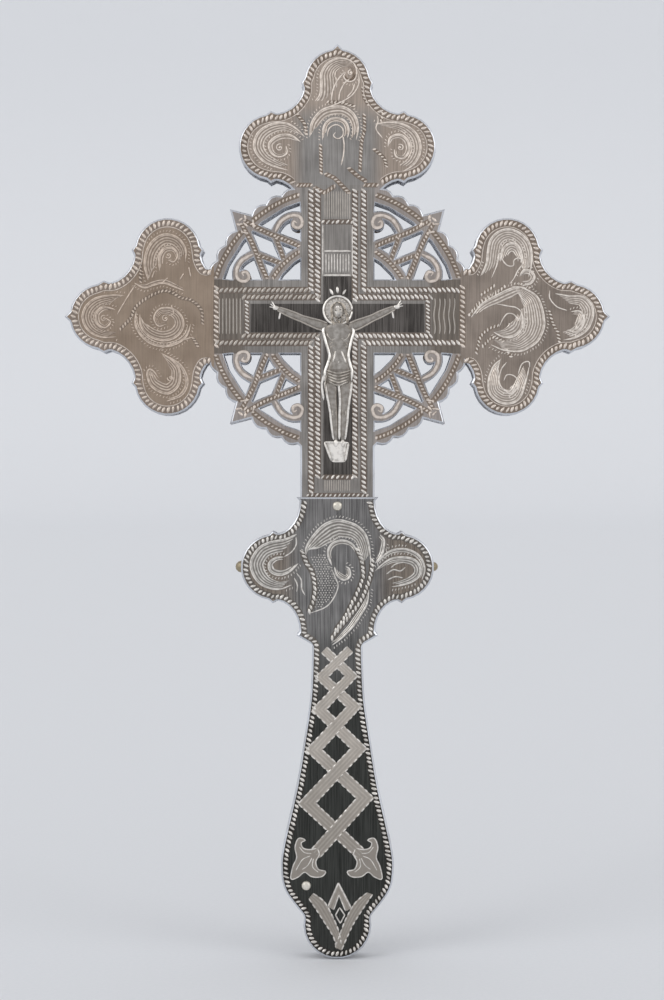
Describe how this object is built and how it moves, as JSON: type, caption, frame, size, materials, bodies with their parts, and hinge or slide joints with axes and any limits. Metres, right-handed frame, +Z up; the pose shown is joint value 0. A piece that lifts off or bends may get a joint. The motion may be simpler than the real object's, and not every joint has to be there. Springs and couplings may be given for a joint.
{
  "type": "blessing cross",
  "caption": "Hand-held blessing cross with trefoil arms, a pierced ring, a lobed knop and a swelling grip, in engraved silver sheet over a wooden core.",
  "frame": {"origin": "centre of the grip's thickness, in the middle of its length", "axes": "+Z up the stem towards the top arm, +X to the right of a viewer in front, front face towards -Y"},
  "size_m": [0.172, 0.0102, 0.288],
  "materials": {
    "engraved_silver": "hand-engraved silver sheet, satin with matt engraved ground",
    "grip_silver": "hand-engraved silver sheet, polished by handling",
    "core_wood": "dark oiled hardwood, sawn edges",
    "nail_metal": "worn pale metal, domed by hammering"
  },
  "bodies": {
    "root": {"cross_front_plate": "engraved_silver", "cross_back_plate": "engraved_silver", "upright_core": "core_wood", "left_arm_core": "core_wood", "right_arm_core": "core_wood", "grip_front_plate": "grip_silver", "grip_back_plate": "grip_silver", "grip_core": "core_wood", "seam_rivet": "nail_metal", "grip_rivet": "nail_metal", "knop_left_pin": "nail_metal", "knop_right_pin": "nail_metal"}
  },
  "joints": []
}
